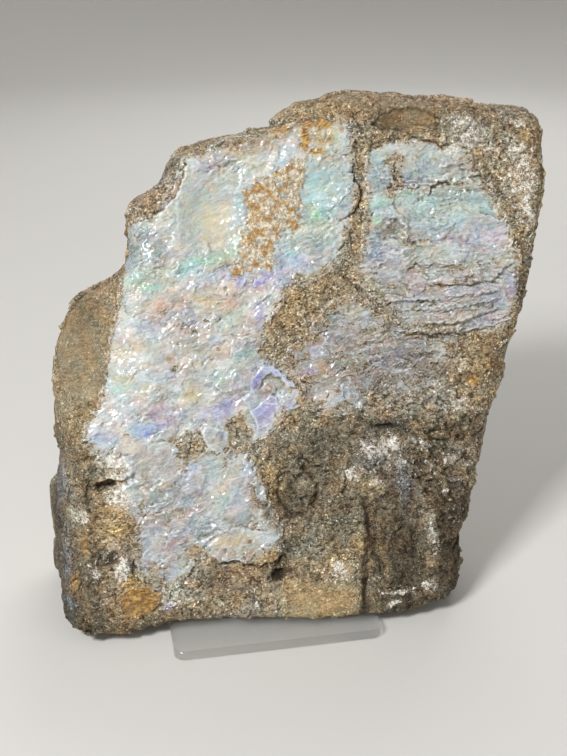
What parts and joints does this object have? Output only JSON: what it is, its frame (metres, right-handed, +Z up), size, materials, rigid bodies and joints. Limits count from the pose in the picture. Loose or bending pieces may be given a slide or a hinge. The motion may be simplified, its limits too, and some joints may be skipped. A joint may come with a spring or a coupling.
{
  "type": "boulder opal on a display stand",
  "caption": "Slab of boulder opal, an ironstone matrix with a broad opal face, leaning back on a small clear acrylic stand.",
  "frame": {"origin": "centre of the base plate's underside, on the surface that the stand rests on", "axes": "+X to the right along the base plate's front edge, +Y to the rear, +Z up; the opal face looks along -Y and leans back 20 degrees"},
  "size_m": [0.1547, 0.1008, 0.143],
  "materials": {
    "opal_in_ironstone": "satin",
    "clear_acrylic": "polished"
  },
  "bodies": {
    "root": {"opal_stone": "opal_in_ironstone", "base_plate": "clear_acrylic", "back_rest": "clear_acrylic"}
  },
  "joints": []
}
